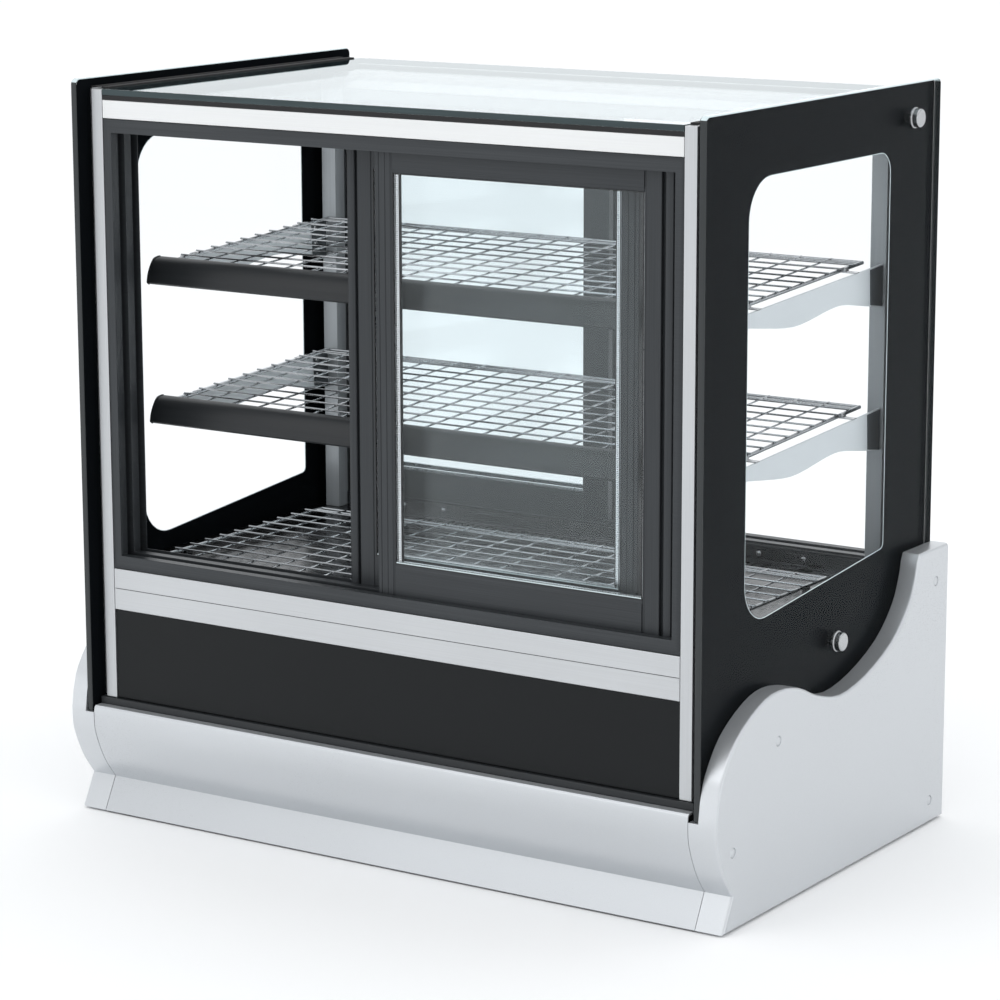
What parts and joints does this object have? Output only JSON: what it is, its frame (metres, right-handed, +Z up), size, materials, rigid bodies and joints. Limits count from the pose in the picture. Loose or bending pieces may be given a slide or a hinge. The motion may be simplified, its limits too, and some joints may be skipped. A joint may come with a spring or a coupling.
{
  "type": "bakery display case",
  "caption": "Countertop bakery display case with sliding glass doors front and back, glass sides and roof, tilted wire shelves and a warm-air base.",
  "frame": {"origin": "on the floor under the middle of the case's bounding box", "axes": "+X to the right for someone who faces the front doors, -Y towards the front (customer side), +Z up"},
  "size_m": [0.914, 0.5603, 0.904],
  "materials": {
    "silver_paint": "cool silver satin paint",
    "aluminium": "satin anodised extrusion",
    "black_frame": "dark grey to black satin extrusion",
    "black_print": "charcoal fired print seen through the glass",
    "glass": "clear, faint blue-green at the edges",
    "stainless": "brushed",
    "chrome": "bright plated wire",
    "bracket_paint": "pale blue-grey powder coat",
    "rubber": "matte black",
    "plastic": "black moulded",
    "galvanised": "plain zinc grey sheet",
    "lamp": "milky diffuser"
  },
  "bodies": {
    "case": {"base_frame": "galvanised", "base_tray": "galvanised", "blower_housing": "galvanised", "blower_motor": "galvanised", "cable_gland": "plastic", "deck_pan": "stainless", "foot_front_left": "rubber", "foot_front_right": "rubber", "foot_rear_left": "rubber", "foot_rear_right": "rubber", "front_apron": "silver_paint", "front_door_surround": "black_frame", "front_header_bar": "aluminium", "front_lower_bar": "aluminium", "front_lower_panel": "black_frame", "heater_element": "stainless", "led_bar": "lamp", "left_base_cover": "silver_paint", "left_glass_border": "black_print", "left_lower_standoff": "stainless", "left_side_glass": "glass", "left_upper_standoff": "stainless", "left_upright": "aluminium", "lower_left_bracket": "bracket_paint", "lower_right_bracket": "bracket_paint", "post_front_left": "aluminium", "post_front_right": "aluminium", "post_rear_left": "aluminium", "post_rear_right": "aluminium", "rear_base_panel": "silver_paint", "rear_door_surround": "black_frame", "rear_header_bar": "aluminium", "rear_lower_bar": "aluminium", "right_base_cover": "silver_paint", "right_glass_border": "black_print", "right_lower_standoff": "stainless", "right_side_glass": "glass", "right_upper_standoff": "stainless", "right_upright": "aluminium", "top_gasket": "rubber", "top_glass": "glass", "upper_left_bracket": "bracket_paint", "upper_right_bracket": "bracket_paint"},
    "front_left_door": {"front_left_door_frame": "black_frame", "front_left_door_glass": "glass"},
    "front_right_door": {"front_right_door_frame": "black_frame", "front_right_door_glass": "glass"},
    "rear_left_door": {"rear_left_door_frame": "black_frame", "rear_left_door_glass": "glass"},
    "rear_right_door": {"rear_right_door_frame": "black_frame", "rear_right_door_glass": "glass"},
    "upper_shelf_unit": {"upper_shelf": "chrome", "upper_price_rail": "black_frame"},
    "lower_shelf_unit": {"lower_shelf": "chrome", "lower_price_rail": "black_frame"},
    "deck_rack_unit": {"deck_rack": "chrome"},
    "blower_rotor": {"blower_wheel": "plastic"},
    "thermostat_dial": {"thermostat_knob": "plastic"},
    "switch_rocker": {"power_switch": "plastic"}
  },
  "joints": [
    {"name": "front_left_door_slide", "type": "slide", "parent": "case", "child": "front_left_door", "axis": [-1, 0, 0], "range_m": [-0.0573, 0.306]},
    {"name": "front_right_door_slide", "type": "slide", "parent": "case", "child": "front_right_door", "axis": [-1, 0, 0], "range_m": [0, 0.3633]},
    {"name": "rear_left_door_slide", "type": "slide", "parent": "case", "child": "rear_left_door", "axis": [1, 0, 0], "range_m": [0, 0.3633]},
    {"name": "rear_right_door_slide", "type": "slide", "parent": "case", "child": "rear_right_door", "axis": [-1, 0, 0], "range_m": [-0.3633, 0]},
    {"name": "upper_shelf_lift", "type": "slide", "parent": "case", "child": "upper_shelf_unit", "axis": [0, 0, 1], "range_m": [0, 0.04]},
    {"name": "lower_shelf_lift", "type": "slide", "parent": "case", "child": "lower_shelf_unit", "axis": [0, 0, 1], "range_m": [0, 0.04]},
    {"name": "deck_rack_lift", "type": "slide", "parent": "case", "child": "deck_rack_unit", "axis": [0, 0, 1], "range_m": [0, 0.05]},
    {"name": "blower_spin", "type": "hinge", "parent": "case", "child": "blower_rotor", "pos_m": [0, 0.02, 0.075], "axis": [0, 0, 1], "continuous": true},
    {"name": "thermostat_turn", "type": "hinge", "parent": "case", "child": "thermostat_dial", "pos_m": [-0.01, 0.2666, 0.205], "axis": [0, 1, 0], "range_deg": [0, 270]},
    {"name": "power_switch_rock", "type": "hinge", "parent": "case", "child": "switch_rocker", "pos_m": [0.095, 0.262, 0.205], "axis": [1, 0, 0], "range_deg": [0, 16]}
  ]
}
